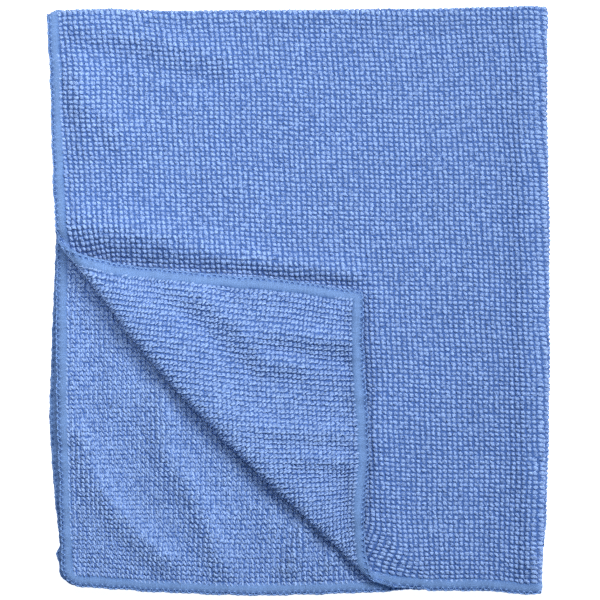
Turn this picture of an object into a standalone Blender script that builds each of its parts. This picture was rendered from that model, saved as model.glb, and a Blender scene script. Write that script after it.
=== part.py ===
"""Knitted cleaning cloth, folded in quarters, one corner of its top layer turned back.

The cloth is one sheet. It is cut flat, folded once along its middle (the fold that
ends up at the top), folded again (the fold that ends up on the right), and the
lower left corner of the top layer is turned back over a soft diagonal roll.

Lengths in the tables are millimetres, seen from above: x to the right, y to the
top, 0 at the middle of the folded cloth; z is up from the surface it lies on.
"""

import math
from collections import namedtuple

import bmesh
import bpy
import numpy as np

MM = 0.001

# ---------------------------------------------------------------- driving sizes
SHEET = 1.6          # thickness of the knit
STEP = 2.2           # middle of one layer to the middle of the next
FLAT_HALF_W = 169.0  # right fold to side hem, along the cloth
FLAT_HALF_L = 198.6  # top fold to bottom hem, along the cloth
TOP_BEND = STEP / 2  # radius of the first fold, at the middle of the sheet
SIDE_BEND = STEP     # radius of the second fold, between its two layers
FOLDED_RIGHT = 85.3  # outermost line of the right fold
FOLDED_TOP = 99.5    # outermost line of the top fold
LOWER_SWING = 0.004  # the lower pair lies turned by this much, mm per mm
LIFT_AT_FREE_EDGE = 0.25  # share of a layer's rise that is left at its hems

# The turned corner: a roll along a bowed line from the side hem to the bottom hem.
ROLL_X0, ROLL_Y0 = -81.72, 19.68
ROLL_X1, ROLL_Y1 = 27.40, -94.33
ROLL_BOW = 5.35      # how far the line bulges towards the corner, at its middle
ROLL_RADIUS = 2.3
TURNED_DRAW_IN = 0.931   # knit is drawn in a little where it is turned over
TURNED_SLIDE = -0.044    # slide along the roll, mm per mm away from it
TURNED_SETTLES = 16.0    # distance in which the turned part sinks onto the layer below

# ---------------------------------------------------------------- short tables
# How far along the flat cloth it is cut into cells, from each fold outwards.
UPPER_ACROSS = (6, 13, 22, 32, 43, 54, 65, 76, 87, 98, 109, 120, 131, 142, 152, 160, 165.5)
LOWER_ACROSS = (8, 22, 42, 62, 82, 102, 122, 142, 157, 165)
FRONT_ALONG = (5, 11, 20, 30, 41, 52, 61, 67, 72, 76, 80, 84, 88, 92, 96, 101, 108, 118, 129, 140, 151, 162, 173, 183,
               190, 195)
BACK_ALONG = (5, 14, 26, 40, 54, 68, 82, 96, 110, 124, 138, 151, 163, 174, 184, 191, 195.5)
PAST_ROLL = (3.5, 8.0, 13.5, 20.0, 28.0)
BEND_STEPS = 6
LEAST_CELL = 0.7     # points of the cut cells nearer than this become one

# Outline of the folds and hems: a point of the edge, at `at` along it.
Edge = namedtuple("Edge", "at place")
# How tall the roll stands, as a share of its radius, at each distance along it.
ROLL_TALL = (Edge(0, 1.30), Edge(25, 1.45), Edge(70, 1.30), Edge(110, 1.10),
             Edge(140, 0.85), Edge(154, 0.62), Edge(166, 0.60))
RIGHT_FOLD = (Edge(100, 85.4), Edge(55, 85.3), Edge(30, 85.8), Edge(0, 86.2), Edge(-30, 86.0),
              Edge(-60, 85.4), Edge(-75, 84.9), Edge(-85, 84.0), Edge(-99, 83.3))
TOP_FOLD = (Edge(-86, 98.2), Edge(-79, 99.2), Edge(-65, 99.7), Edge(-45, 98.8), Edge(-25, 99.2),
            Edge(25, 99.7), Edge(50, 100.0), Edge(68, 100.6), Edge(79, 100.9), Edge(86, 100.4))
TOP_SIDE_HEM = (Edge(98, -86.0), Edge(86, -85.6), Edge(79, -85.0), Edge(59, -84.6), Edge(38, -83.9),
                Edge(21, -83.1), Edge(-99, -80.2))
SECOND_SIDE_HEM = (Edge(98, -85.5), Edge(20, -82.7), Edge(-3, -83.1), Edge(-38, -82.7),
                   Edge(-55, -82.1), Edge(-74, -81.6), Edge(-99, -80.9))
LOWER_SIDE_HEM = (Edge(98, -84.9), Edge(20, -83.0), Edge(-3, -84.0), Edge(-30, -85.0), Edge(-41, -85.3),
                  Edge(-57, -84.4), Edge(-71, -83.2), Edge(-86.5, -81.7), Edge(-89.6, -83.1), Edge(-93.5, -81.8))
TOP_BOTTOM_HEM = (Edge(-86, -99.0), Edge(20, -98.6), Edge(30, -99.0), Edge(37, -99.7), Edge(48, -99.3), Edge(65, -99.3), Edge(72, -99.7), Edge(79, -100.6), Edge(85, -100.5))
SECOND_BOTTOM_HEM = (Edge(-86, -97.6), Edge(-73, -98.3), Edge(-52, -99.7), Edge(-21, -101.0), Edge(-4, -100.9),
                     Edge(24, -100.0), Edge(35, -99.2), Edge(48, -98.7), Edge(85, -99.9))
LOWER_BOTTOM_HEM = (Edge(-86, -96.6), Edge(-21, -100.2), Edge(24, -99.4), Edge(48, -98.2), Edge(85, -99.6))

# Soft creases and swells: the layer rises by `rise` over the one below it along the
# line from (x0, y0) to (x1, y1), fading over `reach` to each side.
Swell = namedtuple("Swell", "x0 y0 x1 y1 reach rise")
TOP_LAYER_REST = 1.0
TOP_LAYER = (
    Swell(-78, 82, -72, 52, 4.0, 1.20),    # ridge along the side hem
    Swell(-76, 72, -63, 58, 6.5, 3.20),    # ridge in the upper left
    Swell(-76, 94, -52, 89, 4.5, 1.70),    # soft fold across the upper left
    Swell(-52, 89, -26, 82, 4.5, 1.90),
    Swell(-78, 86, -54, 80, 4.5, -1.20),   # valley below it
    Swell(-54, 80, -28, 73, 4.5, -1.20),
    Swell(-51, 97, 59, 97, 3.6, 0.70),     # the top fold stands up
    Swell(-90, 100, 90, 100, 4.0, 0.30),
    Swell(77, 96, 78, -58, 4.2, 1.70),     # so does the right fold
    Swell(78, -58, 80, -95, 4.4, 2.20),
    Swell(78, 96, 80, -95, 11.0, 1.40),
    Swell(60, -55, 63, -89, 6.0, -0.70),   # troughs beside it
    Swell(48, -10, 52, -51, 10.0, -0.50),
    Swell(30, 38, 40, 24, 8.0, -0.40),
    Swell(-82, 26, -62, 23, 6.4, 5.60),    # drops to the turned part's hem
    Swell(-62, 23, -45, 20, 5.8, 5.20),
    Swell(-45, 20, -26, 16, 4.8, 3.80),
    Swell(-26, 16, 18, 9.5, 3.6, 2.20),
    Swell(-78, 15.5, -60, 12, 3.6, -1.20), # pressed down along that hem
    Swell(-60, 12, -26, 9.5, 3.2, -1.20),
    Swell(-26, 9.5, 20, 4.5, 3.0, -1.20),
    Swell(23, 0, 24, -60, 2.6, -0.40),     # and beside the turned side hem
    Swell(28, 0, 29, -48, 4.0, 0.50),      # standing up next to that
    Swell(29, -50, 32, -92, 5.0, 1.20),
    Swell(18, -88, 44, -99, 5.5, -0.95),   # lies flat at the roll's end
    Swell(-55, -16, -29, -44, 4.0, -1.00), # dips to the roll
    Swell(-29, -44, 14, -86, 4.0, -1.00),
)
SECOND_LAYER_REST = 1.0
SECOND_LAYER = (
    Swell(-80, -8, -80, -46, 3.6, 1.50),   # ridge along the side hem
    Swell(-71, -12, -71, -46, 5.0, -0.90),
    Swell(-74, -46, -70, -61, 4.4, 2.00),  # slanting ridge in the corner
    Swell(-70, -61, -62, -73, 4.4, 2.40),
    Swell(-62, -73, -47, -88, 4.4, 2.30),
    Swell(-60, -46, -50, -72, 6.0, -0.60), # trough between the ridges
    Swell(-46, -32, -46, -52, 4.0, 1.70),  # second ridge
    Swell(-46, -52, -35, -68, 4.4, 2.10),
    Swell(-35, -68, -26, -92, 4.4, 2.30),
    Swell(-16, -62, -15, -94, 5.0, -0.60), # trough by the roll's end
    Swell(3, -77, -3, -92, 3.0, 2.47),     # short ridges beside it
    Swell(12, -86, 6, -94, 2.6, 1.56),
    Swell(84, 100, 84, -100, 5.0, 0.60),   # inside of the right fold
)
THIRD_LAYER_REST = 0.15
THIRD_LAYER = (
    Swell(-90, 100, 90, 100, 4.0, 0.30),
    Swell(-60, -60, 40, 40, 30.0, 0.20),
)
TURNED_REST = 1.0
TURNED = (
    Swell(-62, 4, -40, -18, 8.0, 1.60),    # stands up along the roll
    Swell(-44, 5, -33, 1, 4.0, 1.35),      # ridge above the winding crease
    Swell(-33, 1, -20, -9, 3.6, 2.16),
    Swell(-20, -9, -11, -20, 3.6, 2.03),
    Swell(-11, -20, 2, -22, 3.4, 1.49),
    Swell(-39, -4, -27, -15, 2.8, -1.10),  # winding crease in the turned part
    Swell(-27, -15, -14, -27, 2.8, -1.10),
    Swell(-14, -27, 0, -28, 2.8, -0.70),
    Swell(-12, -11, 1, -12, 3.2, 1.89),    # ridge above the second crease
    Swell(1, -12, 16, -14, 3.2, 2.16),
    Swell(-12, -17, 16, -21, 2.6, -0.90),  # second crease
    Swell(-14, -44, 15, -46, 3.6, 1.76),   # slack folds in the narrow end
    Swell(0, -54, 16, -55, 3.2, 1.89),
    Swell(20, -3, 20.5, -48, 3.0, 2.03),   # the side hem stands up
    Swell(20.5, -48, 19.5, -85, 3.0, 2.80),
    Swell(24, -3, 24.5, -85, 2.6, -1.10),  # and its edge comes down again
)

# The hem pulls the turned part along where it comes off the roll.
Pull = namedtuple("Pull", "x y dx dy reach turned_only")
PULLS = (
    Pull(31.0, -80.5, -5.5, 3.8, 14.5, False),
    Pull(-67.5, 8.1, 3.5, -2.7, 11.4, False),
    Pull(-6.8, 12.4, 4.4, 1.8, 16.9, True),
    Pull(30.0, -95.0, -2.6, 0.4, 7.0, False),
    Pull(22.0, -12.0, -0.5, 0.0, 16.0, True),
)

# Rounded corners of the cut cloth: which corner, and the length taken off each side.
Corner = namedtuple("Corner", "across along cuts")
CORNERS = (
    Corner(-1, 1, ((7.0, 2.6), (2.6, 7.0), (4.6, 4.6))),
    Corner(-1, -1, ((1.6, 1.6),)),
    Corner(1, 1, ((4.5, 2.0), (2.0, 4.5))),
    Corner(1, -1, ((3.6, 1.6), (1.6, 3.6))),
)

COLOUR = (0.17, 0.30, 0.62, 1.0)

# ---------------------------------------------------------------- derived sizes
AXIS_X = FOLDED_RIGHT - SHEET / 2 - SIDE_BEND - TOP_BEND
AXIS_Y = FOLDED_TOP - SHEET / 2 - TOP_BEND
BED = SHEET / 2                       # middle of the lowest layer
LEVELS = [BED + STEP * k for k in range(4)]
ROLL_LENGTH = math.hypot(ROLL_X1 - ROLL_X0, ROLL_Y1 - ROLL_Y0)
ROLL_TX, ROLL_TY = (ROLL_X1 - ROLL_X0) / ROLL_LENGTH, (ROLL_Y1 - ROLL_Y0) / ROLL_LENGTH
ROLL_NX, ROLL_NY = ROLL_TY, -ROLL_TX  # towards the corner that is turned back


def ease(t):
    """0 below 0, 1 above 1, smooth between."""
    t = np.clip(t, 0.0, 1.0)
    return t * t * (3.0 - 2.0 * t)


def place_at(rows, at):
    """Position of an edge at each value of `at`, from its table."""
    rows = sorted(rows)
    return np.interp(at, [r.at for r in rows], [r.place for r in rows])


def swells(rows, rest, x, y):
    """Height that a table of swells gives at each point. Rows that go on from each other's
    end are one swell, as high as the higher of them."""
    total, chain, end = np.full_like(x, rest), np.zeros_like(x), None
    for r in rows:
        lx, ly = r.x1 - r.x0, r.y1 - r.y0
        along = np.clip(((x - r.x0) * lx + (y - r.y0) * ly) / (lx * lx + ly * ly), 0, 1)
        away2 = (x - r.x0 - along * lx) ** 2 + (y - r.y0 - along * ly) ** 2
        one = r.rise * np.exp(-away2 / (r.reach * r.reach))
        if (r.x0, r.y0) == end:
            chain = np.where(np.abs(one) > np.abs(chain), one, chain)
        else:
            total, chain = total + chain, one
        end = (r.x1, r.y1)
    total = total + chain
    return 0.5 * (total + np.sqrt(total * total + 0.01))  # never below the layer under it


def roll_bow(s):
    q = np.clip(s / ROLL_LENGTH, -0.12, 1.12)
    return ROLL_BOW * 4.0 * q * (1.0 - q)


def roll_frame(x, y):
    """Distance along the roll, and distance past its bowed line, of points of the flat top layer."""
    s = (x - ROLL_X0) * ROLL_TX + (y - ROLL_Y0) * ROLL_TY
    d = (x - ROLL_X0) * ROLL_NX + (y - ROLL_Y0) * ROLL_NY
    return s, d - roll_bow(s)


def shape_hems(u, v):
    """Moves the flat cloth's edges to their true outline. u across, v along; 0 at the folds."""
    across, along = np.abs(u), np.abs(v)
    y = AXIS_Y + TOP_BEND * math.pi / 2 - along
    x = AXIS_X + SIDE_BEND * math.pi / 2 - across
    side = np.where(u > 0, place_at(LOWER_SIDE_HEM, y),
                    np.where(v < 0, place_at(TOP_SIDE_HEM, y), place_at(SECOND_SIDE_HEM, y)))
    bottom = np.where(u > 0, place_at(LOWER_BOTTOM_HEM, x),
                      np.where(v < 0, place_at(TOP_BOTTOM_HEM, x), place_at(SECOND_BOTTOM_HEM, x)))
    side_now = AXIS_X + SIDE_BEND * math.pi / 2 - FLAT_HALF_W
    bottom_now = AXIS_Y + TOP_BEND * math.pi / 2 - FLAT_HALF_L
    w = ease((across - FLAT_HALF_W + 45.0) / 45.0)
    h = ease((along - FLAT_HALF_L + 45.0) / 45.0)
    return u + np.sign(u) * (side_now - side) * w, v + np.sign(v) * (bottom_now - bottom) * h


def first_fold(v):
    """The top fold. Gives the height in the folded pair, + outside, and the place along it."""
    reach = TOP_BEND * math.pi / 2
    turn = np.clip(v / TOP_BEND, -math.pi / 2, math.pi / 2)
    height = -TOP_BEND * np.sin(turn)
    y = AXIS_Y + TOP_BEND * np.cos(turn) - np.maximum(np.abs(v) - reach, 0.0)
    return height, y


def second_fold(u, height):
    """The right fold of the pair. Gives x and z of each point."""
    reach = SIDE_BEND * math.pi / 2
    turn = np.clip(u / SIDE_BEND, -math.pi / 2, math.pi / 2)
    radius = SIDE_BEND + height
    x = AXIS_X + radius * np.cos(turn) - np.maximum(np.abs(u) - reach, 0.0)
    z = LEVELS[0] + TOP_BEND + SIDE_BEND - radius * np.sin(turn)
    return x, z


def turn_corner(x, y):
    """Carries the top layer's corner over the roll. Gives its new x and y, and how far it rises."""
    s, e = roll_frame(x, y)
    r = ROLL_RADIUS
    turn = np.clip((e + r) / r, 0.0, math.pi)
    past = np.maximum(e - (math.pi - 1.0) * r, 0.0)
    e_new = np.where(e <= -r, e, -r + r * np.sin(turn) - past * TURNED_DRAW_IN)
    s_new = s + TURNED_SLIDE * past
    d_new = e_new + roll_bow(s)
    x_new = ROLL_X0 + s_new * ROLL_TX + d_new * ROLL_NX
    y_new = ROLL_Y0 + s_new * ROLL_TY + d_new * ROLL_NY
    dx, dy = np.zeros_like(x), np.zeros_like(x)
    for p in PULLS:
        w = np.exp(-0.5 * ((x_new - p.x) ** 2 + (y_new - p.y) ** 2) / p.reach ** 2)
        w = w * (np.clip(past / 12.0, 0, 1) if p.turned_only else ease((e + 14.0) / 14.0))
        dx, dy = dx + p.dx * w, dy + p.dy * w
    x_new, y_new = x_new + dx, y_new + dy
    settle = 1.0 - ease(past / TURNED_SETTLES)
    tall = r * place_at(ROLL_TALL, s)
    lying = STEP + swells(TURNED, TURNED_REST, x_new, y_new) * ease(past / 14.0)
    rise = np.where(past > 0, lying + (2.0 * tall - STEP) * settle, tall * (1.0 - np.cos(turn)))
    return x_new, y_new, rise


def drape(x, y, z):
    """Gives the folded layers their wavy edges and their soft unevenness. The lowest stays flat."""
    x2 = x + (place_at(RIGHT_FOLD, y) - FOLDED_RIGHT) * ease((x - 30.0) / 50.0)
    y2 = y + (place_at(TOP_FOLD, x) - FOLDED_TOP) * ease((y - 40.0) / 55.0)
    inside = np.minimum(ease((x2 + 86.0) / 14.0), ease((y2 + 101.0) / 14.0))
    share = LIFT_AT_FREE_EDGE + (1.0 - LIFT_AT_FREE_EDGE) * inside
    rises = (
        (LEVELS[0], swells(THIRD_LAYER, THIRD_LAYER_REST, x2, y2)),
        (LEVELS[1], swells(SECOND_LAYER, SECOND_LAYER_REST, x2, y2)),
        (LEVELS[2], swells(TOP_LAYER, TOP_LAYER_REST, x2, y2)),
    )
    z2 = z.copy()
    for level, rise in rises:
        z2 = z2 + rise * share * ease((z - level) / STEP)
    return x2, y2, z2


def folded(u, v):
    """Middle of the sheet, folded, for points u, v of the flat cloth."""
    u, v = shape_hems(u, v)
    height, y = first_fold(v)
    y = y + LOWER_SWING * np.maximum(u, 0.0)
    x, z = second_fold(u, height)
    corner = (u < -40.0) & (v < -20.0)
    cx, cy, rise = turn_corner(x, y)
    x, y, z = np.where(corner, cx, x), np.where(corner, cy, y), np.where(corner, z + rise, z)
    return drape(x, y, z)


# ---------------------------------------------------------------- the flat cut cloth
def cut_line(bm, point, normal, faces=None):
    """Cuts an edge line across the sheet, or across some of its faces."""
    faces = list(bm.faces) if faces is None else faces
    geom = set(faces)
    for f in faces:
        geom.update(f.edges)
        geom.update(f.verts)
    bmesh.ops.bisect_plane(bm, geom=list(geom), dist=1e-5, plane_co=point, plane_no=normal)


def take_off(bm, point, normal):
    """Takes off what lies past a line."""
    bmesh.ops.bisect_plane(bm, geom=bm.verts[:] + bm.edges[:] + bm.faces[:], dist=1e-5,
                           plane_co=point, plane_no=normal, clear_outer=True)


def flat_cloth():
    """The cloth before folding, 1 unit a millimetre, cut into cells."""
    bm = bmesh.new()
    bmesh.ops.create_grid(bm, x_segments=1, y_segments=1, size=1.0)
    for v in bm.verts:
        v.co.x *= FLAT_HALF_W
        v.co.y *= FLAT_HALF_L
    bends = [math.pi * (k / BEND_STEPS - 0.5) for k in range(BEND_STEPS + 1)]
    across = [SIDE_BEND * b for b in bends] + [-u for u in UPPER_ACROSS] + list(LOWER_ACROSS)
    along = [TOP_BEND * b for b in bends] + [-v for v in FRONT_ALONG] + list(BACK_ALONG)
    for u in across:
        cut_line(bm, (u, 0, 0), (1, 0, 0))
    for v in along:
        cut_line(bm, (0, v, 0), (0, 1, 0))
    for c in CORNERS:
        for a, b in c.cuts:
            w, h = c.across * FLAT_HALF_W, c.along * FLAT_HALF_L
            take_off(bm, (w - c.across * a, h, 0), (c.across * b, c.along * a, 0))
    return bm


def cut_roll(bm):
    """Cuts the top layer's corner along the roll, so that it bends on straight lines."""
    def both(v):
        u2, v2 = shape_hems(np.array([v.co.x]), np.array([v.co.y]))
        x = AXIS_X + SIDE_BEND * math.pi / 2 - abs(float(u2[0]))
        y = AXIS_Y + TOP_BEND * math.pi / 2 - abs(float(v2[0]))
        return roll_frame(np.array([x]), np.array([y]))

    home = {}
    for v in bm.verts:
        if v.co.x < 1e-4 and v.co.y < 1e-4:
            s, e = both(v)
            home[v] = (v.co.x, v.co.y)
            v.co.z = 0.0
            v.co.x, v.co.y = float(s[0]), float(e[0])
    faces = [f for f in bm.faces if all(v in home for v in f.verts)]
    sums = [(k / BEND_STEPS) * math.pi * ROLL_RADIUS - ROLL_RADIUS for k in range(BEND_STEPS + 1)]
    return faces, sums, home


def make_cloth():
    bm = flat_cloth()
    # Flat places are kept in two layers, so that a cut gives each new point its own.
    keep_u = bm.verts.layers.float.new("flat_u")
    keep_v = bm.verts.layers.float.new("flat_v")
    for v in bm.verts:
        v[keep_u], v[keep_v] = v.co.x, v.co.y
    faces, sums, home = cut_roll(bm)
    edge_past = sums[-1]
    lines = [sums[0] - 9.0] + sums + [edge_past + p for p in PAST_ROLL]
    chosen = set(faces)
    for e in lines:
        cut_line(bm, (0, e, 0), (0, 1, 0), [f for f in bm.faces if f in chosen])
        chosen = {f for f in bm.faces if all(v[keep_u] < 1e-3 and v[keep_v] < 1e-3 for v in f.verts)}
    for v in bm.verts:
        v.co = (v[keep_u], v[keep_v], 0.0)
    crowded = [v for v in bm.verts if v[keep_u] < -10.0 and v[keep_v] < -10.0]
    bmesh.ops.remove_doubles(bm, verts=crowded, dist=LEAST_CELL)
    bm.verts.ensure_lookup_table()
    u = np.array([v[keep_u] for v in bm.verts])
    w = np.array([v[keep_v] for v in bm.verts])
    x, y, z = folded(u, w)
    for v, a, b, c in zip(bm.verts, x, y, z):
        v.co = (a * MM, b * MM, c * MM)
    bmesh.ops.triangulate(bm, faces=[f for f in bm.faces if len(f.verts) > 4])
    bm.normal_update()
    mesh = bpy.data.meshes.new("cloth")
    bm.to_mesh(mesh)
    bm.free()
    return mesh


def main():
    for o in list(bpy.data.objects):
        bpy.data.objects.remove(o, do_unlink=True)
    group = bpy.data.collections.new("folded_cloth")
    bpy.context.scene.collection.children.link(group)

    knit = bpy.data.materials.new("blue_knit")
    knit.use_nodes = True
    shader = knit.node_tree.nodes["Principled BSDF"]
    shader.inputs["Base Color"].default_value = COLOUR
    shader.inputs["Roughness"].default_value = 0.85
    shader.inputs["Metallic"].default_value = 0.0

    cloth = bpy.data.objects.new("cloth", make_cloth())
    cloth.data.materials.append(knit)
    group.objects.link(cloth)
    thick = cloth.modifiers.new("knit thickness", "SOLIDIFY")
    thick.thickness = SHEET * MM
    thick.offset = 0.0
    thick.use_even_offset = True
    thick.use_rim = True
    thick.use_quality_normals = True


main()
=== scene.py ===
"""Knitted microfibre cloth, folded in quarters, one corner turned back: its looks.

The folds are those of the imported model, written out again here: the flat cloth is
folded at the top, then at the right, and the lower left corner of the top layer is
turned back. On that sheet lie the stitches of the knit and the overlocked hem.

Lengths in the tables are millimetres. u runs across the flat cloth and v along it,
both 0 at the folds: u < 0 is the upper pair of layers, v < 0 the half whose face is
outside. x, y and z are the folded cloth's, as seen from above.
"""

import math
from collections import namedtuple

import bpy
import numpy as np
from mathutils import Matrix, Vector


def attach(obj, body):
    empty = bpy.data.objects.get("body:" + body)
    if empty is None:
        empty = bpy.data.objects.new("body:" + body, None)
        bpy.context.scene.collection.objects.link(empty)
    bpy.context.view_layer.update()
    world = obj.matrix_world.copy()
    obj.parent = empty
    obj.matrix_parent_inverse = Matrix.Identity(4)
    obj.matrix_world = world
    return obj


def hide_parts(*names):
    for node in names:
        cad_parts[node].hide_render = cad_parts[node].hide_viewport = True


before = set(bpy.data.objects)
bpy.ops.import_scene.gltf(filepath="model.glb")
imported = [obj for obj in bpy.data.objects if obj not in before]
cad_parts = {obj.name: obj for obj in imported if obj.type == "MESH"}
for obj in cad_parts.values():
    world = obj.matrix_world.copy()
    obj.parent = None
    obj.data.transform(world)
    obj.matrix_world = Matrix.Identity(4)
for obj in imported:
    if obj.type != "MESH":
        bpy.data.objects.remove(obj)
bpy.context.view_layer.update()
MM = 0.001

# ================================================================ the folds
STEP = 2.2
BED = 0.8
FLAT_HALF_W = 169.0
FLAT_HALF_L = 198.6
TOP_BEND = STEP / 2
SIDE_BEND = STEP
FOLDED_RIGHT = 85.3
FOLDED_TOP = 99.5
LOWER_SWING = 0.004
LIFT_AT_FREE_EDGE = 0.25

ROLL_X0, ROLL_Y0 = -81.72, 19.68
ROLL_X1, ROLL_Y1 = 27.40, -94.33
ROLL_BOW = 5.35
ROLL_RADIUS = 2.3
TURNED_DRAW_IN = 0.931
TURNED_SLIDE = -0.044
TURNED_SETTLES = 16.0

Edge = namedtuple("Edge", "at place")
ROLL_TALL = (Edge(0, 1.30), Edge(25, 1.45), Edge(70, 1.30), Edge(110, 1.10), Edge(140, 0.85), Edge(154, 0.62), Edge(166, 0.60))
RIGHT_FOLD = (Edge(100, 85.4), Edge(55, 85.3), Edge(30, 85.8), Edge(0, 86.2), Edge(-30, 86.0),
              Edge(-60, 85.4), Edge(-75, 84.9), Edge(-85, 84.0), Edge(-99, 83.3))
TOP_FOLD = (Edge(-86, 98.2), Edge(-79, 99.2), Edge(-65, 99.7), Edge(-45, 98.8), Edge(-25, 99.2),
            Edge(25, 99.7), Edge(50, 100.0), Edge(68, 100.6), Edge(79, 100.9), Edge(86, 100.4))
TOP_SIDE_HEM = (Edge(98, -86.0), Edge(86, -85.6), Edge(79, -85.0), Edge(59, -84.6), Edge(38, -83.9),
                Edge(21, -83.1), Edge(-99, -80.2))
SECOND_SIDE_HEM = (Edge(98, -85.5), Edge(20, -82.7), Edge(-3, -83.1), Edge(-38, -82.7),
                   Edge(-55, -82.1), Edge(-74, -81.6), Edge(-99, -80.9))
LOWER_SIDE_HEM = (Edge(98, -84.9), Edge(20, -83.0), Edge(-3, -84.0), Edge(-30, -85.0), Edge(-41, -85.3),
                  Edge(-57, -84.4), Edge(-71, -83.2), Edge(-86.5, -81.7), Edge(-89.6, -83.1), Edge(-93.5, -81.8))
TOP_BOTTOM_HEM = (Edge(-86, -99.0), Edge(20, -98.6), Edge(30, -99.0), Edge(37, -99.7), Edge(48, -99.3), Edge(65, -99.3), Edge(72, -99.7), Edge(79, -100.6), Edge(85, -100.5))
SECOND_BOTTOM_HEM = (Edge(-86, -97.6), Edge(-73, -98.3), Edge(-52, -99.7), Edge(-21, -101.0), Edge(-4, -100.9),
                     Edge(24, -100.0), Edge(35, -99.2), Edge(48, -98.7), Edge(85, -99.9))
LOWER_BOTTOM_HEM = (Edge(-86, -96.6), Edge(-21, -100.2), Edge(24, -99.4), Edge(48, -98.2), Edge(85, -99.6))

Swell = namedtuple("Swell", "x0 y0 x1 y1 reach rise")
TOP_LAYER_REST = 1.0
TOP_LAYER = (
    Swell(-78, 82, -72, 52, 4.0, 1.20),
    Swell(-76, 72, -63, 58, 6.5, 3.20),
    Swell(-76, 94, -52, 89, 4.5, 1.70),
    Swell(-52, 89, -26, 82, 4.5, 1.90),
    Swell(-78, 86, -54, 80, 4.5, -1.20),
    Swell(-54, 80, -28, 73, 4.5, -1.20),
    Swell(-51, 97, 59, 97, 3.6, 0.70),
    Swell(-90, 100, 90, 100, 4.0, 0.30),
    Swell(77, 96, 78, -58, 4.2, 1.70),
    Swell(78, -58, 80, -95, 4.4, 2.20),
    Swell(78, 96, 80, -95, 11.0, 1.40),
    Swell(60, -55, 63, -89, 6.0, -0.70),
    Swell(48, -10, 52, -51, 10.0, -0.50),
    Swell(30, 38, 40, 24, 8.0, -0.40),
    Swell(-82, 26, -62, 23, 6.4, 5.60),
    Swell(-62, 23, -45, 20, 5.8, 5.20),
    Swell(-45, 20, -26, 16, 4.8, 3.80),
    Swell(-26, 16, 18, 9.5, 3.6, 2.20),
    Swell(-78, 15.5, -60, 12, 3.6, -1.20),
    Swell(-60, 12, -26, 9.5, 3.2, -1.20),
    Swell(-26, 9.5, 20, 4.5, 3.0, -1.20),
    Swell(23, 0, 24, -60, 2.6, -0.40),
    Swell(28, 0, 29, -48, 4.0, 0.50),
    Swell(29, -50, 32, -92, 5.0, 1.20),
    Swell(18, -88, 44, -99, 5.5, -0.95),
    Swell(-55, -16, -29, -44, 4.0, -1.00),
    Swell(-29, -44, 14, -86, 4.0, -1.00),
)
SECOND_LAYER_REST = 1.0
SECOND_LAYER = (
    Swell(-80, -8, -80, -46, 3.6, 1.50),
    Swell(-71, -12, -71, -46, 5.0, -0.90),
    Swell(-74, -46, -70, -61, 4.4, 2.00),
    Swell(-70, -61, -62, -73, 4.4, 2.40),
    Swell(-62, -73, -47, -88, 4.4, 2.30),
    Swell(-60, -46, -50, -72, 6.0, -0.60),
    Swell(-46, -32, -46, -52, 4.0, 1.70),
    Swell(-46, -52, -35, -68, 4.4, 2.10),
    Swell(-35, -68, -26, -92, 4.4, 2.30),
    Swell(-16, -62, -15, -94, 5.0, -0.60),
    Swell(3, -77, -3, -92, 3.0, 2.47),
    Swell(12, -86, 6, -94, 2.6, 1.56),
    Swell(84, 100, 84, -100, 5.0, 0.60),
)
THIRD_LAYER_REST = 0.15
THIRD_LAYER = (
    Swell(-90, 100, 90, 100, 4.0, 0.30),
    Swell(-60, -60, 40, 40, 30.0, 0.20),
)
TURNED_REST = 1.0
TURNED = (
    Swell(-62, 4, -40, -18, 8.0, 1.60),
    Swell(-44, 5, -33, 1, 4.0, 1.35),
    Swell(-33, 1, -20, -9, 3.6, 2.16),
    Swell(-20, -9, -11, -20, 3.6, 2.03),
    Swell(-11, -20, 2, -22, 3.4, 1.49),
    Swell(-39, -4, -27, -15, 2.8, -1.10),
    Swell(-27, -15, -14, -27, 2.8, -1.10),
    Swell(-14, -27, 0, -28, 2.8, -0.70),
    Swell(-12, -11, 1, -12, 3.2, 1.89),
    Swell(1, -12, 16, -14, 3.2, 2.16),
    Swell(-12, -17, 16, -21, 2.6, -0.90),
    Swell(-14, -44, 15, -46, 3.6, 1.76),
    Swell(0, -54, 16, -55, 3.2, 1.89),
    Swell(20, -3, 20.5, -48, 3.0, 2.03),
    Swell(20.5, -48, 19.5, -85, 3.0, 2.80),
    Swell(24, -3, 24.5, -85, 2.6, -1.10),
)
Pull = namedtuple("Pull", "x y dx dy reach turned_only")
PULLS = (
    Pull(31.0, -80.5, -5.5, 3.8, 14.5, False),
    Pull(-67.5, 8.1, 3.5, -2.7, 11.4, False),
    Pull(-6.8, 12.4, 4.4, 1.8, 16.9, True),
    Pull(30.0, -95.0, -2.6, 0.4, 7.0, False),
    Pull(22.0, -12.0, -0.5, 0.0, 16.0, True),
)

AXIS_X = FOLDED_RIGHT - BED - SIDE_BEND - TOP_BEND
AXIS_Y = FOLDED_TOP - BED - TOP_BEND
LEVELS = [BED + STEP * k for k in range(4)]
ROLL_LENGTH = math.hypot(ROLL_X1 - ROLL_X0, ROLL_Y1 - ROLL_Y0)
ROLL_TX, ROLL_TY = (ROLL_X1 - ROLL_X0) / ROLL_LENGTH, (ROLL_Y1 - ROLL_Y0) / ROLL_LENGTH
ROLL_NX, ROLL_NY = ROLL_TY, -ROLL_TX


def ease(t):
    """0 below 0, 1 above 1, smooth between."""
    t = np.clip(t, 0.0, 1.0)
    return t * t * (3.0 - 2.0 * t)


def place_at(rows, at):
    rows = sorted(rows)
    return np.interp(at, [r.at for r in rows], [r.place for r in rows])


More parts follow.
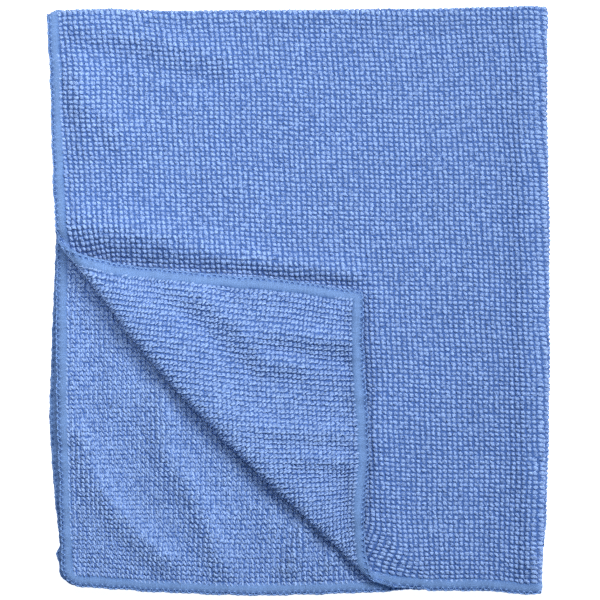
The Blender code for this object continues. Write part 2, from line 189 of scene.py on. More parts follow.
def swells(rows, rest, x, y):
    """Sum of the swells; rows that go on from each other's end are one swell."""
    total, chain, end = np.full_like(x, rest), np.zeros_like(x), None
    for r in rows:
        lx, ly = r.x1 - r.x0, r.y1 - r.y0
        along = np.clip(((x - r.x0) * lx + (y - r.y0) * ly) / (lx * lx + ly * ly), 0, 1)
        away2 = (x - r.x0 - along * lx) ** 2 + (y - r.y0 - along * ly) ** 2
        one = r.rise * np.exp(-away2 / (r.reach * r.reach))
        if (r.x0, r.y0) == end:
            chain = np.where(np.abs(one) > np.abs(chain), one, chain)
        else:
            total, chain = total + chain, one
        end = (r.x1, r.y1)
    total = total + chain
    return 0.5 * (total + np.sqrt(total * total + 0.01))


def roll_bow(s):
    q = np.clip(s / ROLL_LENGTH, -0.12, 1.12)
    return ROLL_BOW * 4.0 * q * (1.0 - q)


def roll_frame(x, y):
    s = (x - ROLL_X0) * ROLL_TX + (y - ROLL_Y0) * ROLL_TY
    d = (x - ROLL_X0) * ROLL_NX + (y - ROLL_Y0) * ROLL_NY
    return s, d - roll_bow(s)


def shape_hems(u, v):
    across, along = np.abs(u), np.abs(v)
    y = AXIS_Y + TOP_BEND * math.pi / 2 - along
    x = AXIS_X + SIDE_BEND * math.pi / 2 - across
    side = np.where(u > 0, place_at(LOWER_SIDE_HEM, y),
                    np.where(v < 0, place_at(TOP_SIDE_HEM, y), place_at(SECOND_SIDE_HEM, y)))
    bottom = np.where(u > 0, place_at(LOWER_BOTTOM_HEM, x),
                      np.where(v < 0, place_at(TOP_BOTTOM_HEM, x), place_at(SECOND_BOTTOM_HEM, x)))
    side_now = AXIS_X + SIDE_BEND * math.pi / 2 - FLAT_HALF_W
    bottom_now = AXIS_Y + TOP_BEND * math.pi / 2 - FLAT_HALF_L
    w = ease((across - FLAT_HALF_W + 45.0) / 45.0)
    h = ease((along - FLAT_HALF_L + 45.0) / 45.0)
    return u + np.sign(u) * (side_now - side) * w, v + np.sign(v) * (bottom_now - bottom) * h


def first_fold(v):
    reach = TOP_BEND * math.pi / 2
    turn = np.clip(v / TOP_BEND, -math.pi / 2, math.pi / 2)
    height = -TOP_BEND * np.sin(turn)
    y = AXIS_Y + TOP_BEND * np.cos(turn) - np.maximum(np.abs(v) - reach, 0.0)
    return height, y


def second_fold(u, height):
    reach = SIDE_BEND * math.pi / 2
    turn = np.clip(u / SIDE_BEND, -math.pi / 2, math.pi / 2)
    radius = SIDE_BEND + height
    x = AXIS_X + radius * np.cos(turn) - np.maximum(np.abs(u) - reach, 0.0)
    z = LEVELS[0] + TOP_BEND + SIDE_BEND - radius * np.sin(turn)
    return x, z


def turn_corner(x, y):
    s, e = roll_frame(x, y)
    r = ROLL_RADIUS
    turn = np.clip((e + r) / r, 0.0, math.pi)
    past = np.maximum(e - (math.pi - 1.0) * r, 0.0)
    e_new = np.where(e <= -r, e, -r + r * np.sin(turn) - past * TURNED_DRAW_IN)
    s_new = s + TURNED_SLIDE * past
    d_new = e_new + roll_bow(s)
    x_new = ROLL_X0 + s_new * ROLL_TX + d_new * ROLL_NX
    y_new = ROLL_Y0 + s_new * ROLL_TY + d_new * ROLL_NY
    dx, dy = np.zeros_like(x), np.zeros_like(x)
    for p in PULLS:
        w = np.exp(-0.5 * ((x_new - p.x) ** 2 + (y_new - p.y) ** 2) / p.reach ** 2)
        w = w * (np.clip(past / 12.0, 0, 1) if p.turned_only else ease((e + 14.0) / 14.0))
        dx, dy = dx + p.dx * w, dy + p.dy * w
    x_new, y_new = x_new + dx, y_new + dy
    settle = 1.0 - ease(past / TURNED_SETTLES)
    tall = r * place_at(ROLL_TALL, s)
    lying = STEP + swells(TURNED, TURNED_REST, x_new, y_new) * ease(past / 14.0)
    rise = np.where(past > 0, lying + (2.0 * tall - STEP) * settle, tall * (1.0 - np.cos(turn)))
    return x_new, y_new, rise


def drape(x, y, z):
    x2 = x + (place_at(RIGHT_FOLD, y) - FOLDED_RIGHT) * ease((x - 30.0) / 50.0)
    y2 = y + (place_at(TOP_FOLD, x) - FOLDED_TOP) * ease((y - 40.0) / 55.0)
    inside = np.minimum(ease((x2 + 86.0) / 14.0), ease((y2 + 101.0) / 14.0))
    share = LIFT_AT_FREE_EDGE + (1.0 - LIFT_AT_FREE_EDGE) * inside
    rises = (
        (LEVELS[0], swells(THIRD_LAYER, THIRD_LAYER_REST, x2, y2)),
        (LEVELS[1], swells(SECOND_LAYER, SECOND_LAYER_REST, x2, y2)),
        (LEVELS[2], swells(TOP_LAYER, TOP_LAYER_REST, x2, y2)),
    )
    z2 = z.copy()
    for level, rise in rises:
        z2 = z2 + rise * share * ease((z - level) / STEP)
    return x2, y2, z2


def folded(u, v):
    """Middle of the sheet, folded, for points u, v of the flat cloth."""
    u, v = shape_hems(u, v)
    height, y = first_fold(v)
    y = y + LOWER_SWING * np.maximum(u, 0.0)
    x, z = second_fold(u, height)
    corner = (u < -40.0) & (v < -20.0)
    cx, cy, rise = turn_corner(x, y)
    x, y, z = np.where(corner, cx, x), np.where(corner, cy, y), np.where(corner, z + rise, z)
    return drape(x, y, z)


# ================================================================ small unevenness
Wave = namedtuple("Wave", "length turned shift tall")
# The knit is never quite even: long low waves, each with its own direction.
WAVES = (
    Wave(31.0, 0.4, 0.3, 0.10), Wave(23.0, 1.9, 1.7, 0.08), Wave(17.0, 2.6, 4.1, 0.07),
    Wave(12.5, 0.9, 2.2, 0.04), Wave(9.0, 2.2, 5.3, 0.02), Wave(7.0, 1.3, 0.9, 0.015),
)
# The overlocking gathers the edge: short waves along it, fading inwards.
PUCKERS = (Wave(13.0, 0.0, 0.8, 0.16), Wave(8.3, 0.0, 2.9, 0.13), Wave(5.6, 0.0, 4.4, 0.07))
PUCKER_REACH = 7.0


def unevenness(u, v):
    """How far the sheet stands off its smooth folds, along its face's normal."""
    total = np.zeros_like(u)
    for w in WAVES:
        total = total + w.tall * np.sin(2 * math.pi / w.length * (u * math.cos(w.turned) + v * math.sin(w.turned)) + w.shift)
    for across, along, half in ((u, v, FLAT_HALF_W), (v, u, FLAT_HALF_L)):
        near = np.exp(-np.maximum(half - np.abs(across), 0.0) / PUCKER_REACH)
        for w in PUCKERS:
            total = total + near * w.tall * np.sin(2 * math.pi / w.length * along + w.shift + 2.0 * np.sign(across))
    return total


def sheet_point(u, v, off):
    """A point `off` millimetres out from the middle of the sheet, + on its face side."""
    e = 0.04
    ax, ay, az = folded(u + e, v)
    bx, by, bz = folded(u - e, v)
    cx, cy, cz = folded(u, v + e)
    dx, dy, dz = folded(u, v - e)
    p = np.stack([(ax + bx + cx + dx) / 4, (ay + by + cy + dy) / 4, (az + bz + cz + dz) / 4], 1)
    n = np.cross(np.stack([ax - bx, ay - by, az - bz], 1), np.stack([cx - dx, cy - dy, cz - dz], 1))
    n = n / np.maximum(np.linalg.norm(n, axis=1), 1e-9)[:, None]
    free = ease((p[:, 2] - 1.5) / 3.0)   # the lowest layer lies flat
    p = p + n * (off + unevenness(u, v) * free)[:, None]
    p[:, 2] = np.maximum(p[:, 2], 0.0)
    return p


# ================================================================ meshes
def add_piece(name, points, faces, flat, material, **attributes):
    """A mesh from numpy tables, with the flat cloth's coordinates as its UV map."""
    mesh = bpy.data.meshes.new(name)
    n, k = faces.shape
    mesh.vertices.add(len(points))
    mesh.vertices.foreach_set("co", (points * MM).astype(np.float32).ravel())
    mesh.loops.add(n * k)
    mesh.loops.foreach_set("vertex_index", faces.astype(np.int32).ravel())
    mesh.polygons.add(n)
    mesh.polygons.foreach_set("loop_start", np.arange(0, n * k, k, dtype=np.int32))
    mesh.update(calc_edges=True)
    uv = mesh.uv_layers.new(name="flat")
    uv.data.foreach_set("uv", (flat[faces.ravel()] * MM).astype(np.float32).ravel())
    for key, values in attributes.items():
        layer = mesh.attributes.new(key, "FLOAT", "POINT")
        layer.data.foreach_set("value", values.astype(np.float32))
    mesh.shade_smooth()
    mesh.validate()
    mesh.materials.append(material)
    piece = bpy.data.objects.new(name, mesh)
    bpy.context.scene.collection.objects.link(piece)
    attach(piece, "root")
    return piece


# ================================================================ the sheet itself
GROUND = 0.42       # half its thickness, under the stitches
HEM_WIDTH = 4.1


def grid_lines(half, fine_from, fine, coarse):
    """Stations from -half to half: fine steps below fine_from, coarse above, tight at the fold."""
    low = np.linspace(-half, fine_from, int(round((fine_from + half) / fine)) + 1)
    mid = np.linspace(fine_from, -9.0, int(round((-9.0 - fine_from) / coarse)) + 1)[1:]
    bend = np.linspace(-9.0, 9.0, 41)[1:]
    high = np.linspace(9.0, half, int(round((half - 9.0) / coarse)) + 1)[1:]
    return np.concatenate([low, mid, bend, high])


def round_corners(u, v, half_u, half_v, r):
    """Moves points of a rectangle's corners onto rounded corners."""
    p = np.maximum(np.abs(u) - (half_u - r), 0.0)
    q = np.maximum(np.abs(v) - (half_v - r), 0.0)
    both = (p > 0) & (q > 0)
    k = np.where(both, np.maximum(p, q) / np.maximum(np.hypot(p, q), 1e-9), 1.0)
    return (np.where(both, np.sign(u) * (half_u - r + p * k), u),
            np.where(both, np.sign(v) * (half_v - r + q * k), v))


def make_sheet(material):
    lines_u = grid_lines(FLAT_HALF_W - 0.5, -54.0, 1.5, 3.2)
    lines_v = grid_lines(FLAT_HALF_L - 0.5, -80.0, 1.5, 3.2)
    u, v = np.meshgrid(lines_u, lines_v)
    nu, nv = len(lines_u), len(lines_v)
    u, v = round_corners(u.ravel(), v.ravel(), FLAT_HALF_W - 0.5, FLAT_HALF_L - 0.5, 4.0)
    face = sheet_point(u, v, np.full_like(u, GROUND))
    back = sheet_point(u, v, np.full_like(u, -GROUND))
    count = len(u)
    i, j = np.meshgrid(np.arange(nu - 1), np.arange(nv - 1))
    a = (j * nu + i).ravel()
    quads = np.stack([a, a + 1, a + nu + 1, a + nu], 1)
    border = np.concatenate([np.arange(nu), np.arange(1, nv) * nu + nu - 1,
                             nu * nv - 1 - np.arange(1, nu), (nv - 1 - np.arange(1, nv - 1)) * nu])
    after = np.roll(border, -1)
    rim = np.stack([border, border + count, after + count, after], 1)
    faces = np.concatenate([quads, quads[:, ::-1] + count, rim])
    flat = np.stack([u, v], 1)
    # The sheet is painted near the shade colour (0.12): painted shade, since it shows only in the gaps between the
    # stitches.
    return add_piece("cloth_sheet", np.concatenate([face, back]), faces, np.concatenate([flat, flat]), material,
                     depth=np.full(2 * count, 0.12), tone=np.zeros(2 * count))


# ================================================================ the knit
WALE = 1.79         # one stitch to the next, across
COURSE = 1.59       # one row to the next
LEAN_FRONT = 0.036  # the wales lean, mm per mm, in the front half of the cloth
LEAN_BACK = 0.024   # and in the back half
LEAN_ROWS = 0.020

Loop = namedtuple("Loop", "at_a at_b long wide turned lean square top_along low shoulder_at shoulder peak rim shade sides rings")
# A stitch is one or two visible loops of yarn. For each: its middle, half its length and width,
# which way it lies (degrees, as seen from its own side), how it leans, how square it is, where
# along it its top is, its heights above the ground, how light its rim and its top are painted
# (painted shade at the rim, down between the stitches; painted light on the top). Lengths are mm.
FACE_STITCH = (
    Loop(0.0, 0.0, 0.88, 0.87, 0.0, 0.28, 2.4, 0.12, -0.10, 0.66, 0.36, 0.52, 0.06, 1.0, 8, 2),
)
BACK_STITCH = (
    Loop(0.30, 0.02, 1.08, 0.42, -62.0, 0.0, 2.6, 0.25, -0.06, 0.76, 0.46, 0.56, 0.42, 1.0, 8, 2),
    Loop(-0.34, 0.10, 0.58, 0.80, 0.0, 0.1, 2.8, 0.0, -0.10, 0.76, 0.22, 0.28, 0.36, 0.66, 6, 2),
)
UNDER_STITCH = (
    Loop(0.0, 0.0, 0.90, 0.80, 0.0, 0.17, 2.6, 0.05, -0.12, 0.68, 0.30, 0.38, 0.12, 1.0, 5, 2),
)


def knit_place(i, j):
    """Flat place of the stitch in wale i, course j (whole or between)."""
    u0 = (i + 0.5) * WALE
    v0 = (j + 0.5) * COURSE
    inner_u = 1.0 - 0.5 * ease((np.abs(u0) - FLAT_HALF_W + 42.0) / 40.0)
    inner_v = 1.0 - 0.5 * ease((np.abs(v0) - FLAT_HALF_L + 42.0) / 40.0)
    left = ease((-u0 - 60.0) / 100.0)
    lean = np.where(v0 < 0, LEAN_FRONT, LEAN_BACK)
    u = u0 - lean * v0 * inner_u - (0.8 + 1.6 * left) * np.exp(-np.abs(v0) / 18.0) * inner_u
    v = v0 - LEAN_ROWS * (u0 + 85.0 * np.sign(-u0)) * inner_v
    u = u + 0.16 * np.sin(v0 / 5.3 + 1.1 * np.sin(u0 / 19.0)) + 0.20 * np.sin(v0 / 13.0 + u0 / 31.0)
    v = v + 0.14 * np.sin(u0 / 6.1 + 1.3 * np.sin(v0 / 17.0)) + 0.20 * np.sin(u0 / 15.0 - v0 / 27.0 + 1.0)
    return u, v


def loop_shape(q):
    """One loop, seen from its own side: A to the right, B up, height, painted lightness (painted shade at the rim,
    painted light on top); triangles.
    """
    turn = np.arange(q.sides) / q.sides * 2 * math.pi + math.pi / q.sides
    c, s = np.cos(turn), np.sin(turn)
    along = np.sign(c) * np.abs(c) ** (2 / q.square) * q.long
    across = np.sign(s) * np.abs(s) ** (2 / q.square) * q.wide
    rows = [np.stack([along, across, np.full(q.sides, q.low), np.full(q.sides, q.rim)], 1)]
    if q.rings == 2:
        rows.append(np.stack([along * q.shoulder_at, across * q.shoulder_at, np.full(q.sides, q.shoulder),
                              np.full(q.sides, 0.85 * q.shade)], 1))
    rows.append(np.array([[q.top_along * q.long, 0.0, q.peak, q.shade]]))
    t = np.concatenate(rows)
    t[:, 0] = t[:, 0] - q.lean * t[:, 1]
    co, si = math.cos(math.radians(q.turned)), math.sin(math.radians(q.turned))
    t[:, 0], t[:, 1] = q.at_a + t[:, 0] * co - t[:, 1] * si, q.at_b + t[:, 0] * si + t[:, 1] * co
    k, n = np.arange(q.sides), (np.arange(q.sides) + 1) % q.sides
    tris = []
    if q.rings == 2:
        tris += [np.stack([k, n, n + q.sides], 1), np.stack([k, n + q.sides, k + q.sides], 1)]
    last = (q.rings - 1) * q.sides
    tris.append(np.stack([k + last, n + last, np.full(q.sides, q.rings * q.sides)], 1))
    return t, np.concatenate(tris)


def template(kinds):
    shapes = [loop_shape(q) for q in kinds]
    starts = np.cumsum([0] + [len(t) for t, _ in shapes])
    return (np.concatenate([t for t, _ in shapes]),
            np.concatenate([tris + start for (_, tris), start in zip(shapes, starts)]))


def make_stitches(name, kinds, side, wales, courses, keep, material, seed):
    """Stitches in a range of wales and courses, where keep(u, v) is true, as one mesh."""
    i, j = np.meshgrid(np.arange(*wales), np.arange(*courses))
    i, j = i.ravel().astype(float), j.ravel().astype(float)
    cu, cv = knit_place(i, j)
    inside = (np.abs(cu) < FLAT_HALF_W - HEM_WIDTH + 0.9) & (np.abs(cv) < FLAT_HALF_L - HEM_WIDTH + 0.9)
    k = inside & keep(cu, cv)
    i, j, cu, cv = i[k], j[k], cu[k], cv[k]
    r = np.random.RandomState(seed)
    count = len(i)
    by_wale = np.random.RandomState(5).normal(0, 1, 400)[(i + 200).astype(int)]
    by_row = np.random.RandomState(6).normal(0, 1, 400)[(j + 200).astype(int)]
    size = 1.0 + np.clip(r.normal(0, 0.05, count), -0.10, 0.10)
    spin = r.normal(0, 0.17, count)
    tall = 1.0 + np.clip(r.normal(0, 0.06, count) + 0.04 * by_wale + 0.03 * by_row, -0.4, 0.4)
    tone = np.clip(r.normal(0, 0.45, count) + 0.2 * by_wale + 0.12 * by_row, -2.2, 2.2)
    shift_a, shift_b = r.normal(0, 0.08, count), r.normal(0, 0.07, count)
    t, tris = template(kinds)
    uneven = r.normal(0, 0.12, (4, count, len(t)))
    a = t[None, :, 0] * (1.0 + uneven[0]) * size[:, None] + 0.7 * uneven[1]
    b = t[None, :, 1] * (1.0 + uneven[0]) * size[:, None] + 0.6 * uneven[2]
    co, si = np.cos(spin)[:, None], np.sin(spin)[:, None]
    a, b = a * co - b * si + shift_a[:, None], a * si + b * co + shift_b[:, None]
    if side < 0:
        b = -b
    u = cu[:, None] + a - LEAN_FRONT * b
    v = cv[:, None] + b - LEAN_ROWS * a
    lift = np.where(t[None, :, 2] > 0, t[None, :, 2] * tall[:, None] * (1.0 + 1.3 * uneven[3]), t[None, :, 2])
    points = sheet_point(u.ravel(), v.ravel(), side * (GROUND + lift.ravel()))
    faces = (tris[None] + (np.arange(count) * len(t))[:, None, None]).reshape(-1, 3)
    flat = np.stack([u.ravel(), v.ravel()], 1)
    fleck = r.normal(0, 1, (count, len(t)))
    fleck = fleck - fleck.mean(axis=1, keepdims=True)
    # Painted light and shade: each point's lightness comes from the template (painted shade at the rim, painted
    # light on top), with a random fleck of tone on it.
    depth = t[None, :, 3] * (1.0 + 0.26 * fleck) + 0.10 * fleck
    return add_piece(name, points, faces, flat, material, depth=depth.ravel(), tone=np.repeat(tone, len(t)))


# ================================================================ the overlocked hem
Round = namedtuple("Round", "across along radius")
CORNERS = (Round(-1, -1, 1.6), Round(1, -1, 3.4), Round(1, 1, 3.0), Round(-1, 1, 6.5))
Across = namedtuple("Across", "inset height thread shade hole")
# The hem's cross-section from its inner border, over the edge: inset from the edge, height
# above the middle of the sheet, how much each thread stands out there, how light it is painted
# (painted shade in the groove at the inner border and round the edge, painted light on the band),
# and how much of the row of holes inside the edge cord it takes (the holes get painted shade).
HEM_SIDE = (
    Across(4.25, 0.34, 0.0, 0.10, 0.0), Across(3.95, 0.62, 0.6, 0.45, 0.0), Across(3.3, 0.92, 1.0, 0.85, 0.0),
    Across(2.3, 1.04, 1.0, 1.0, 0.0), Across(1.45, 0.90, 1.0, 0.95, 0.15), Across(0.90, 0.68, 0.6, 0.80, 1.0),
    Across(0.48, 0.54, 0.5, 0.95, 0.20), Across(0.12, 0.32, 0.4, 0.90, 0.0),
)
HEM_EDGE = Across(0.0, 0.0, 0.3, 0.65, 0.0)
THREAD = 0.53       # one overlocking thread to the next, along the hem
LOOP = 2.08         # one loop of the edge to the next


def hem_stations(step):
    """Goes once round the flat cloth. For each station: a function's worth of numbers
    from which hem_flat finds the point at any inset."""
    rows, walked = [], 0.0
    order = list(CORNERS)
    for k, corner in enumerate(order):
        after = order[(k + 1) % 4]
        start = np.array([corner.across * FLAT_HALF_W, corner.along * FLAT_HALF_L])
        end = np.array([after.across * FLAT_HALF_W, after.along * FLAT_HALF_L])
        run = np.linalg.norm(end - start)
        along = (end - start) / run
        inward = np.array([-along[1], along[0]])
        before = np.array([-inward[0], -inward[1]])
        # the corner's arc, turning into this side
        n = max(3, int(math.ceil(corner.radius * math.pi / 2 / step)))
        for q in range(n):
            turn = (q + 0.5) / n * math.pi / 2
            rows.append((1, *start, *along, *inward, corner.radius, 0.0, turn, walked))
            walked += corner.radius * math.pi / 2 / n
        first, last = corner.radius, run - after.radius
        n = int(round((last - first) / step))
        for q in range(n):
            at = first + (q + 0.5) / n * (last - first)
            rows.append((0, *start, *along, *inward, corner.radius, after.radius, at, walked))
            walked += (last - first) / n
    return np.array(rows), walked


def hem_flat(rows, inset):
    """Flat place of each station at an inset from the edge (below 0: outside it)."""
    kind, sx, sy, ax, ay, nx, ny, r0, r1, at, _ = rows.T
    inset = np.broadcast_to(inset, kind.shape)
    # straight sides
    half_run = np.where(np.abs(ax) > 0.5, FLAT_HALF_W, FLAT_HALF_L) * 2
    along = np.clip(at, np.maximum(inset, r0), half_run - np.maximum(inset, r1))
    u0, v0 = sx + ax * along + nx * inset, sy + ay * along + ny * inset
    # corner arcs: from the previous side's direction to this one's
    m = np.maximum(inset, r0)
    cu, cv = sx + (ax + nx) * m, sy + (ay + ny) * m
    rd = m - inset
    # at turn 0 the outward direction is that of the previous side (-along), at 90 deg -inward
    ou = -ax * np.cos(at) - nx * np.sin(at)
    ov = -ay * np.cos(at) - ny * np.sin(at)
    u1, v1 = cu + ou * rd, cv + ov * rd
    return np.where(kind > 0.5, u1, u0), np.where(kind > 0.5, v1, v0)


def tube_faces(stations, around):
    s, k = np.meshgrid(np.arange(stations), np.arange(around), indexing="ij")
    s, k = s.ravel(), k.ravel()
    s2, k2 = (s + 1) % stations, (k + 1) % around
    return np.stack([s * around + k, s2 * around + k, s2 * around + k2, s * around + k2], 1)


def hem_waves(walked):
    """How far the hem's edge and its inner border wander, along it."""
    edge = 0.10 * np.sin(walked / 1.9 + 0.7) + 0.08 * np.sin(walked / 3.1) + 0.07 * np.sin(walked / 0.9)
    inner = 0.10 * np.sin(walked / 1.4) + 0.12 * np.sin(walked / 2.3 + 1.0)
    return edge, inner


def make_hem(material, seed=71):
    rows, total = hem_stations(THREAD / 2)
    walked = rows[:, 10]
    threads, loops = int(round(total / THREAD)), int(round(total / LOOP))
    r = np.random.RandomState(seed)
    per, per_loop = r.normal(0, 1, threads + 2), r.normal(0, 1, loops + 2)
    phase, loop_phase = walked / total * threads, walked / total * loops
    which, which_loop = np.floor(phase).astype(int), np.floor(loop_phase).astype(int)
    ridge = 0.5 + 0.5 * np.cos(2 * math.pi * phase)
    hole = ease(0.5 - 1.25 * np.cos(2 * math.pi * (loop_phase + 0.05 * per_loop[which_loop])))
    bulk = 0.05 * np.sin(walked / 2.1) + 0.04 * np.sin(walked / 1.27 + 1.0)
    edge, inner = hem_waves(walked)
    edge = edge + 0.10 * (hole - 0.5)     # the edge is scalloped, a little, round each loop
    profile = [(q, 1) for q in HEM_SIDE] + [(HEM_EDGE, 0)] + [(q, -1) for q in reversed(HEM_SIDE)]
    points, flat, depth, tone = [], [], [], []
    for q, side in profile:
        share = q.inset / HEM_SIDE[0].inset
        inset = q.inset + (inner + 0.10 * per[which]) * share ** 3 - edge * (1.0 - share)
        u, v = hem_flat(rows, inset)
        h = q.height + (0.07 * (ridge - 0.5) * (1 + 0.25 * per[which]) + bulk) * q.thread - 0.32 * hole * q.hole
        points.append(sheet_point(u, v, side * h))
        flat.append(np.stack([u, v], 1))
        # Painted light and shade: lighter on each thread's ridge, painted shade in the holes along the edge.
        depth.append(q.shade * (0.86 + 0.14 * ridge) * (1.0 - 0.70 * hole * q.hole))
        tone.append(0.7 * per[which] + 0.5 * per_loop[which_loop])
    points, flat = np.stack(points, 1).reshape(-1, 3), np.stack(flat, 1).reshape(-1, 2)
    depth, tone = np.stack(depth, 1).ravel(), np.stack(tone, 1).ravel()
    return add_piece("hem_overlock", points, tube_faces(len(rows), len(profile))[:, ::-1], flat, material,
                     depth=depth, tone=tone)


def make_loops(material, seed=72):
    """The looper thread: it arches round each hole along the edge, on the side that shows."""
    around, per_loop = 5, 10
    _, total = hem_stations(1.0)
    loops = int(round(total / LOOP))
    rows, total = hem_stations(LOOP / per_loop)
    walked = rows[:, 10]
    phase = walked / total * loops
    r = np.random.RandomState(seed)
    per = r.normal(0, 1, loops + 2)
    which = np.floor(phase).astype(int)
    arch = 0.5 - 0.5 * np.cos(2 * math.pi * phase)      # 1 over each hole
    edge, _ = hem_waves(walked)
    u0, v0 = hem_flat(rows, 1.0)
    e, _, _ = turned_part(u0, v0)
    back = (e > 1.0) | (v0 > 0)
    side = np.where(back, -1.0, 1.0)
    middle = 0.30 - edge + 1.05 * (1.0 - ease(arch * 1.6)) + 0.05 * per[which]
    high = 0.66 + 0.26 * (1.0 - ease(arch * 1.6))
    points, flat = [], []
    for k in range(around):
        a = 2 * math.pi * k / around
        u, v = hem_flat(rows, middle + 0.23 * math.cos(a))
        points.append(sheet_point(u, v, side * high + 0.17 * math.sin(a)))
        flat.append(np.stack([u, v], 1))
    points, flat = np.stack(points, 1).reshape(-1, 3), np.stack(flat, 1).reshape(-1, 2)
    # The looper thread is painted much lighter than the hem: a painted highlight, so the loops along the edge look
    # lit.
    tone = np.repeat(7.0 + 1.5 * per[which], around)
    depth = np.full(len(points), 1.0)
    return add_piece("hem_loops", points, tube_faces(len(rows), around)[:, ::-1], flat, material, depth=depth, tone=tone)


# ================================================================ materials
def knit_material(name, shade_colour, light, fibres, slant, mottle):
    """Microfibre yarn: painted shade between the stitches and painted light on their tops, fine fibres along them.
    """
    m = bpy.data.materials.new(name)
    m.use_nodes = True
    nodes, links = m.node_tree.nodes, m.node_tree.links
    shader = nodes["Principled BSDF"]

    def node(kind, **values):
        n = nodes.new(kind)
        for key, value in values.items():
            setattr(n, key, value)
        return n

    def wire(a, b):
        links.new(a, b)

    def sum_of(a, b, how="ADD", k=None):
        n = node("ShaderNodeMath", operation=how)
        wire(a, n.inputs[0])
        if k is None:
            wire(b, n.inputs[1])
        else:
            n.inputs[1].default_value = k
        return n.outputs[0]

    flat = node("ShaderNodeUVMap", uv_map="flat")
    place = node("ShaderNodeMapping")
    place.inputs["Scale"].default_value = (1000.0, 1000.0, 1.0)
    wire(flat.outputs[0], place.inputs["Vector"])
    turned = node("ShaderNodeMapping")
    turned.inputs["Rotation"].default_value = (0.0, 0.0, slant)
    wire(place.outputs[0], turned.inputs["Vector"])
    stretched = node("ShaderNodeMapping")
    stretched.inputs["Scale"].default_value = (7.0, 1.6, 1.0)
    wire(turned.outputs[0], stretched.inputs["Vector"])
    strands = node("ShaderNodeTexNoise")
    strands.inputs["Scale"].default_value = 1.0
    strands.inputs["Detail"].default_value = 3.0
    wire(stretched.outputs[0], strands.inputs["Vector"])
    grain = node("ShaderNodeTexNoise")
    grain.inputs["Scale"].default_value = 2.5
    grain.inputs["Detail"].default_value = 3.0
    grain.inputs["Roughness"].default_value = 0.6
    wire(place.outputs[0], grain.inputs["Vector"])
    patch = node("ShaderNodeTexNoise")
    patch.inputs["Scale"].default_value = 0.055
    patch.inputs["Detail"].default_value = 2.0
    wire(place.outputs[0], patch.inputs["Vector"])
    depth = node("ShaderNodeAttribute", attribute_name="depth")
    tone = node("ShaderNodeAttribute", attribute_name="tone")

    # This ramp paints light and shade into the colour. The first colour is painted shade for the gaps between the
    # stitches, the hem's holes and its inner groove. The second is painted light on the stitches' tops.
    ramp = node("ShaderNodeValToRGB")
    ramp.color_ramp.elements[0].position = 0.0
    ramp.color_ramp.elements[0].color = (*shade_colour, 1.0)
    ramp.color_ramp.elements[1].position = 1.0
    ramp.color_ramp.elements[1].color = (*light, 1.0)
    wire(depth.outputs["Fac"], ramp.inputs["Fac"])

    # brightness = 1 + tone + mottling + patches
    parts = [
        sum_of(tone.outputs["Fac"], None, "MULTIPLY", 0.040),
        sum_of(sum_of(grain.outputs["Fac"], None, "SUBTRACT", 0.5), None, "MULTIPLY", mottle),
        sum_of(sum_of(strands.outputs["Fac"], None, "SUBTRACT", 0.5), None, "MULTIPLY", fibres),
        sum_of(sum_of(patch.outputs["Fac"], None, "SUBTRACT", 0.5), None, "MULTIPLY", 0.11),
    ]
    total = parts[0]
    for p in parts[1:]:
        total = sum_of(total, p)
    total = sum_of(total, None, "ADD", 1.0)
    tint = node("ShaderNodeVectorMath", operation="SCALE")
    wire(ramp.outputs["Color"], tint.inputs[0])
    wire(total, tint.inputs["Scale"])
    wire(tint.outputs[0], shader.inputs["Base Color"])

    rough = node("ShaderNodeMapRange")
    rough.inputs["To Min"].default_value = 0.78
    rough.inputs["To Max"].default_value = 0.98
    wire(strands.outputs["Fac"], rough.inputs["Value"])
    wire(rough.outputs[0], shader.inputs["Roughness"])

    bump = node("ShaderNodeBump")
    bump.inputs["Strength"].default_value = 0.55
    bump.inputs["Distance"].default_value = 0.00012
    both = sum_of(strands.outputs["Fac"], grain.outputs["Fac"])
    wire(both, bump.inputs["Height"])
    wire(bump.outputs[0], shader.inputs["Normal"])

    shader.inputs["Metallic"].default_value = 0.0
    shader.inputs["Specular IOR Level"].default_value = 0.12
    shader.inputs["Sheen Weight"].default_value = 0.10
    shader.inputs["Sheen Roughness"].default_value = 0.45
    shader.inputs["Sheen Tint"].default_value = (0.62, 0.76, 1.0, 1.0)
    return m


def make_floor():
    mesh = bpy.data.meshes.new("floor")
    s, z = 12.0, -0.0002
    mesh.from_pydata([(-s, -s, z), (s, -s, z), (s, s, z), (-s, s, z)], [], [(0, 1, 2, 3)])
    floor = bpy.data.objects.new("floor", mesh)
    bpy.context.scene.collection.objects.link(floor)
    m = bpy.data.materials.new("floor")
    m.use_nodes = True
    shader = m.node_tree.nodes["Principled BSDF"]
    shader.inputs["Base Color"].default_value = (0.93, 0.93, 0.93, 1.0)
    shader.inputs["Emission Color"].default_value = (1.0, 1.0, 1.0, 1.0)
    shader.inputs["Emission Strength"].default_value = 0.90
    shader.inputs["Roughness"].default_value = 0.9
    shader.inputs["Specular IOR Level"].default_value = 0.1
    mesh.materials.append(m)


# ================================================================ camera and light
PIXELS_PER_MM = 2.925
SEEN_MM = 600 / PIXELS_PER_MM
CENTRE_X, CENTRE_Y = 0.51, 0.17
SEEN_AT_Z = 8.5


def make_camera():
    data = bpy.data.cameras.new("camera")
    data.type = "PERSP"
    data.sensor_fit = "HORIZONTAL"
    data.sensor_width = 36.0
    away = 4000.0
    data.lens = 36.0 * away / SEEN_MM
    data.clip_start, data.clip_end = 0.1, 50.0
    camera = bpy.data.objects.new("camera", data)
    camera.location = (CENTRE_X * MM, CENTRE_Y * MM, (SEEN_AT_Z + away) * MM)
    bpy.context.scene.collection.objects.link(camera)
    bpy.context.scene.camera = camera


def area_light(name, place, size, power, colour=(1, 1, 1)):
    data = bpy.data.lights.new(name, "AREA")
    data.shape = "SQUARE"
    data.size = size
    data.energy = power
    data.color = colour
    light = bpy.data.objects.new(name, data)
    light.location = place
    light.rotation_mode = "QUATERNION"
    light.rotation_quaternion = (-Vector(place)).to_track_quat("-Z", "Y")
    bpy.context.scene.collection.objects.link(light)


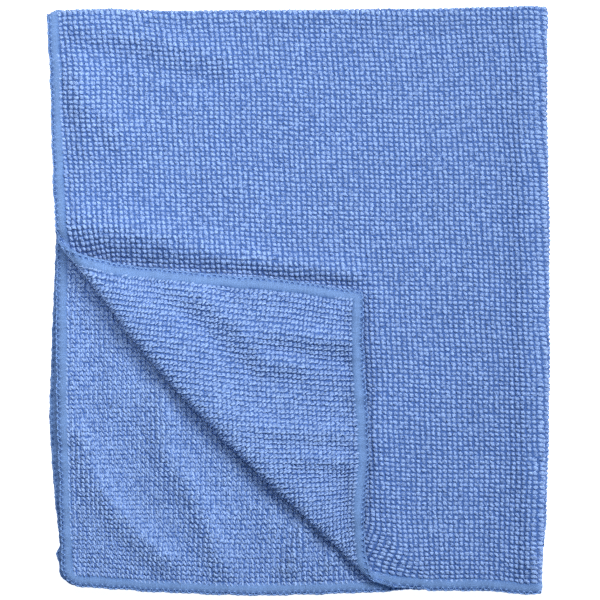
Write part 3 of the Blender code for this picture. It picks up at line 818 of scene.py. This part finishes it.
def make_light():
    scene = bpy.context.scene
    world = bpy.data.worlds.new("studio")
    world.use_nodes = True
    back = world.node_tree.nodes["Background"]
    back.inputs["Color"].default_value = (0.25, 0.55, 1.0, 1.0)
    back.inputs["Strength"].default_value = 0.13
    scene.world = world
    area_light("key", (1.00, 1.00, 1.93), 0.9, 56.0)
    area_light("near", (-0.11, 0.09, 0.26), 0.16, 0.47)
    area_light("front", (1.02, -1.77, 1.43), 0.9, 7.2, (0.74, 0.91, 1.0))
    scene.view_settings.view_transform = "Standard"
    scene.view_settings.look = "None"
    scene.view_settings.exposure = 0.0
    scene.view_settings.gamma = 1.0
    scene.cycles.use_denoising = False


# ================================================================ all of it
def turned_part(u, v):
    """How far past the roll's bowed line each flat point of the top layer lies."""
    u2, v2 = shape_hems(u, v)
    x = AXIS_X + SIDE_BEND * math.pi / 2 - np.abs(u2)
    y = AXIS_Y + TOP_BEND * math.pi / 2 - np.abs(v2)
    s, e = roll_frame(x, y)
    return np.where((u < 0) & (v < 0), e, -999.0), x, y


def under_turned(x, y):
    """Places of the top layer that the turned part hides."""
    s, e = roll_frame(x, y)
    top_hem = 15.0 - 0.118 * (x + 70.0)
    return (e < -7.0) & (x > -66.0) & (x < 19.5) & (y < top_hem - 4.5) & (y > -86.0)


def face_above(u, v):
    e, x, y = turned_part(u, v)
    shown = (u < 3.0) & (v < 4.0) & (e < 1.5)
    return shown & ~((v < 0) & under_turned(x, y))


def face_below(u, v):
    return u >= 3.0


def back_turned(u, v):
    e, x, y = turned_part(u, v)
    return e > -4.5


def back_second(u, v):
    x = AXIS_X + SIDE_BEND * math.pi / 2 - np.abs(u)
    y = AXIS_Y + TOP_BEND * math.pi / 2 - np.abs(v)
    s, e = roll_frame(x, y)
    return (u < 0) & (v > 0) & (e > -9.0)


def main():
    slant = math.radians(-28)
    face_yarn = knit_material("microfibre_face", (0.031, 0.089, 0.295), (0.282, 0.417, 0.722), 1.00, slant, 2.8)
    back_yarn = knit_material("microfibre_back", (0.056, 0.134, 0.385), (0.305, 0.445, 0.742), 0.90, -slant, 2.0)
    hem_yarn = knit_material("overlock_thread", (0.045, 0.115, 0.32), (0.163, 0.276, 0.522), 0.60, 0.0, 1.5)
    cloth = make_sheet(face_yarn)
    across, along = (-96, 97), (-126, 4)
    pieces = [
        make_stitches("stitches_face_top", FACE_STITCH, 1, across, (-62, 4), face_above, face_yarn, 11),
        make_stitches("stitches_face_low", FACE_STITCH, 1, across, (-128, -62), face_above, face_yarn, 12),
        make_stitches("stitches_under_top", UNDER_STITCH, 1, across, (-62, 4), face_below, face_yarn, 13),
        make_stitches("stitches_under_low", UNDER_STITCH, 1, across, (-128, -62), face_below, face_yarn, 14),
        make_stitches("stitches_turned", BACK_STITCH, -1, across, (-128, 0), back_turned, back_yarn, 15),
        make_stitches("stitches_second", BACK_STITCH, -1, across, (0, 128), back_second, back_yarn, 16),
        make_hem(hem_yarn),
        make_loops(hem_yarn),
    ]
    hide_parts("cloth")
    make_floor()
    make_camera()
    make_light()


main()
